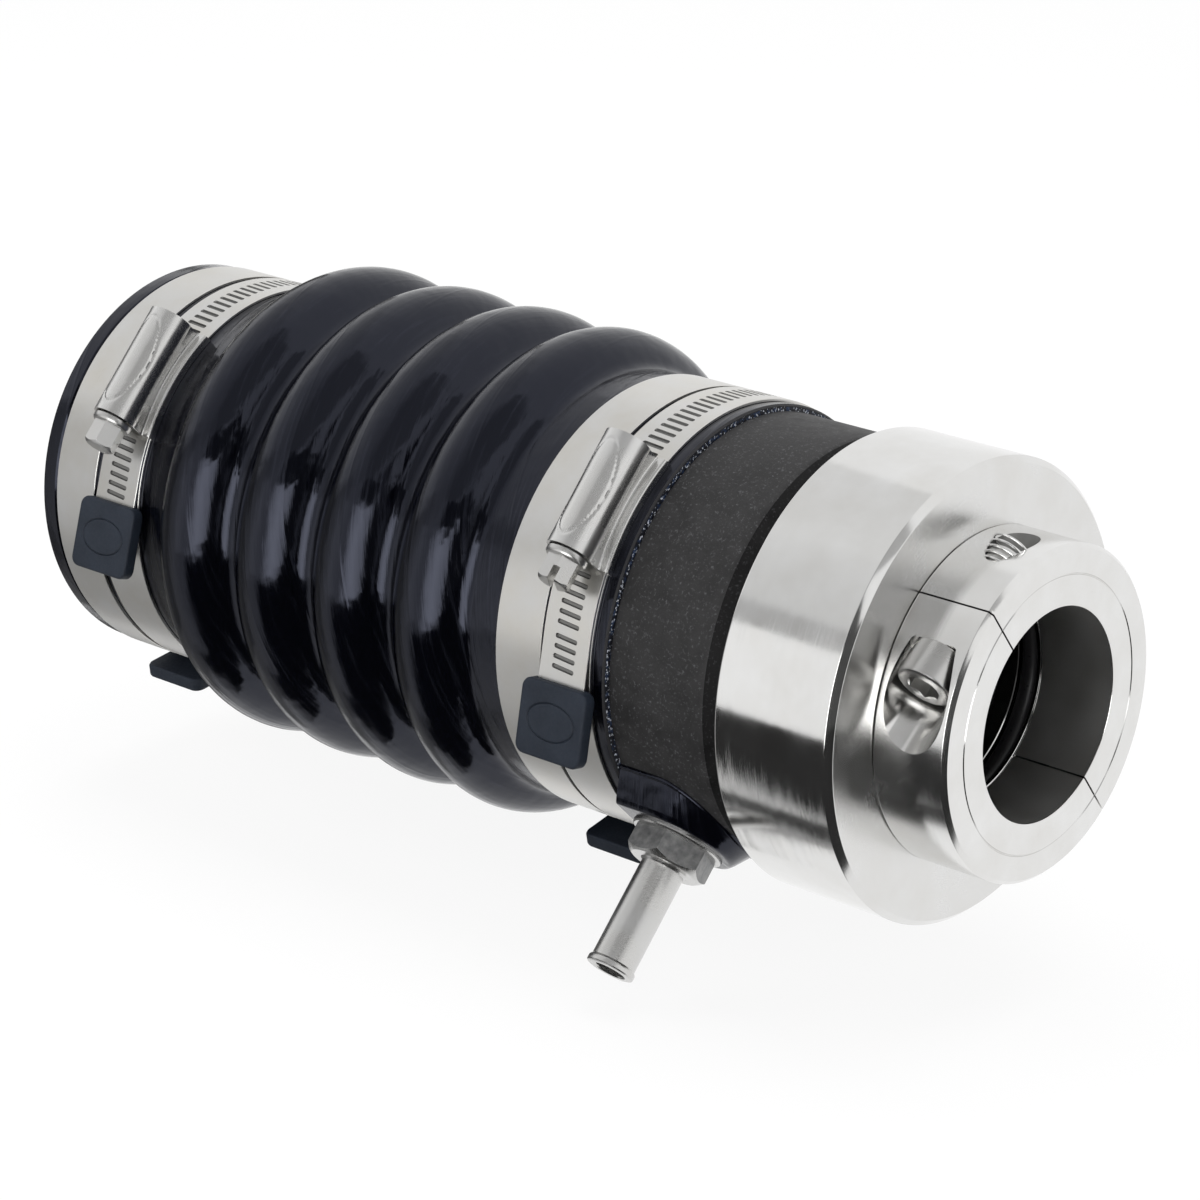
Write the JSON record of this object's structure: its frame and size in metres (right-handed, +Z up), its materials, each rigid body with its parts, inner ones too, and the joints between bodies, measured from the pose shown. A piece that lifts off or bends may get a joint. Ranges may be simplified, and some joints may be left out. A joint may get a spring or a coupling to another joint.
{
  "type": "dripless shaft seal",
  "caption": "Face seal for a boat's propeller shaft: ribbed rubber bellows, carbon ring with water fitting, and steel rotor held to the shaft by a split collar.",
  "frame": {"origin": "on the shaft's axis, at the outer face of the split collar", "axes": "+X along the shaft, out of the collar and away from the stern tube; +Z up; the worm housings and the water fitting that face the viewer are on the -Y side"},
  "size_m": [0.245, 0.1133, 0.1133],
  "materials": {
    "hose_silicone": "glossy black silicone",
    "carbon": "machined graphite, matte",
    "fitting_steel": "turned, bright",
    "rotor_steel": "fine turned, polished",
    "collar_steel": "fine turned, polished",
    "screw_steel": "plain stainless",
    "seal_rubber": "black",
    "band_steel": "rolled stainless strip",
    "housing_steel": "bright pressed stainless",
    "worm_steel": "bright stainless",
    "cap_rubber": "matte blue-black"
  },
  "bodies": {
    "tube_side": {"bellows": "hose_silicone", "clamp_a_band": "band_steel", "clamp_a_housing": "housing_steel", "clamp_a_tail_cap": "cap_rubber", "clamp_b_band": "band_steel", "clamp_b_housing": "housing_steel", "clamp_b_tail_cap": "cap_rubber"},
    "carbon_side": {"carbon_stator": "carbon", "water_fitting": "fitting_steel", "clamp_c_band": "band_steel", "clamp_c_housing": "housing_steel", "clamp_c_tail_cap": "cap_rubber", "clamp_d_band": "band_steel", "clamp_d_housing": "housing_steel", "clamp_d_tail_cap": "cap_rubber"},
    "shaft_side": {"rotor": "rotor_steel", "o_ring_front": "seal_rubber", "o_ring_rear": "seal_rubber", "collar_half_lower": "collar_steel", "collar_half_upper": "collar_steel", "collar_screw_front": "screw_steel", "collar_screw_back": "screw_steel", "drive_pin_lower": "screw_steel", "drive_pin_upper": "screw_steel"},
    "worm_a": {"clamp_a_screw": "worm_steel"},
    "worm_b": {"clamp_b_screw": "worm_steel"},
    "worm_c": {"clamp_c_screw": "worm_steel"},
    "worm_d": {"clamp_d_screw": "worm_steel"}
  },
  "joints": [
    {"name": "bellows_compress", "type": "slide", "parent": "tube_side", "child": "carbon_side", "axis": [1, 0, 0], "range_m": [-0.02, 0], "stiffness_N_per_m": 3000, "deforming": ["bellows"]},
    {"name": "rotor_spin", "type": "hinge", "parent": "carbon_side", "child": "shaft_side", "pos_m": [-0.03, 0, 0], "axis": [1, 0, 0], "continuous": true},
    {"name": "clamp_a_worm", "type": "hinge", "parent": "tube_side", "child": "worm_a", "pos_m": [-0.2339, 0.02785, -0.04129], "axis": [0, -0.829, -0.5592], "continuous": true},
    {"name": "clamp_b_worm", "type": "hinge", "parent": "tube_side", "child": "worm_b", "pos_m": [-0.2197, -0.03582, 0.03459], "axis": [0, -0.6947, -0.7193], "continuous": true},
    {"name": "clamp_c_worm", "type": "hinge", "parent": "carbon_side", "child": "worm_c", "pos_m": [-0.0986, 0.03553, -0.0381], "axis": [0, -0.7314, -0.682], "continuous": true},
    {"name": "clamp_d_worm", "type": "hinge", "parent": "carbon_side", "child": "worm_d", "pos_m": [-0.0853, -0.03748, 0.03619], "axis": [0, -0.6947, -0.7193], "continuous": true}
  ]
}
